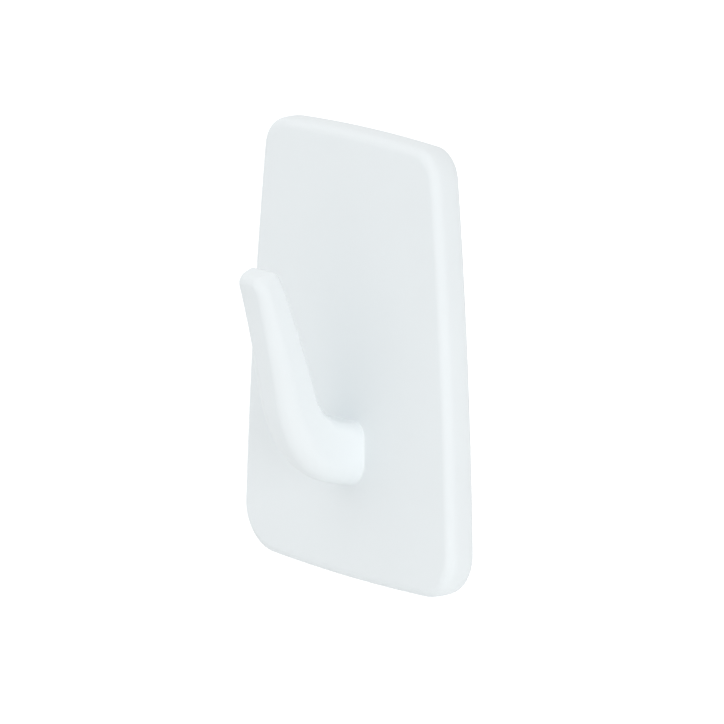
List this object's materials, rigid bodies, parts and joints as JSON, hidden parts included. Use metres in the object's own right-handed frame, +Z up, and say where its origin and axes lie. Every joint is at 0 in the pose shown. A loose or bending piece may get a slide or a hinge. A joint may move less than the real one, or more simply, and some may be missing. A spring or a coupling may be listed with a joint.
{
  "type": "adhesive wall hook",
  "caption": "White moulded wall hook: a tapered, round-cornered cover with a J hook slides up off a hidden base plate that a stretch-release strip holds on the wall.",
  "frame": {"origin": "middle of the adhesive's face on the wall", "axes": "+Z up the wall, +Y into the wall, so the front and the hook face -Y"},
  "size_m": [0.0446, 0.0218, 0.062],
  "materials": {
    "cover": "satin white moulded",
    "base": "satin moulded",
    "adhesive": "tacky, slightly clear",
    "foam": "fine closed-cell foam",
    "tab": "matt film"
  },
  "bodies": {
    "wall_side": {"base_plate": "base", "plate_adhesive": "adhesive", "foam_carrier": "foam", "wall_adhesive": "adhesive", "pull_tab": "tab"},
    "cover": {"hook_cover": "cover"}
  },
  "joints": [
    {"name": "cover_slide", "type": "slide", "parent": "wall_side", "child": "cover", "axis": [0, 0, 1], "range_m": [0, 0.039]}
  ]
}
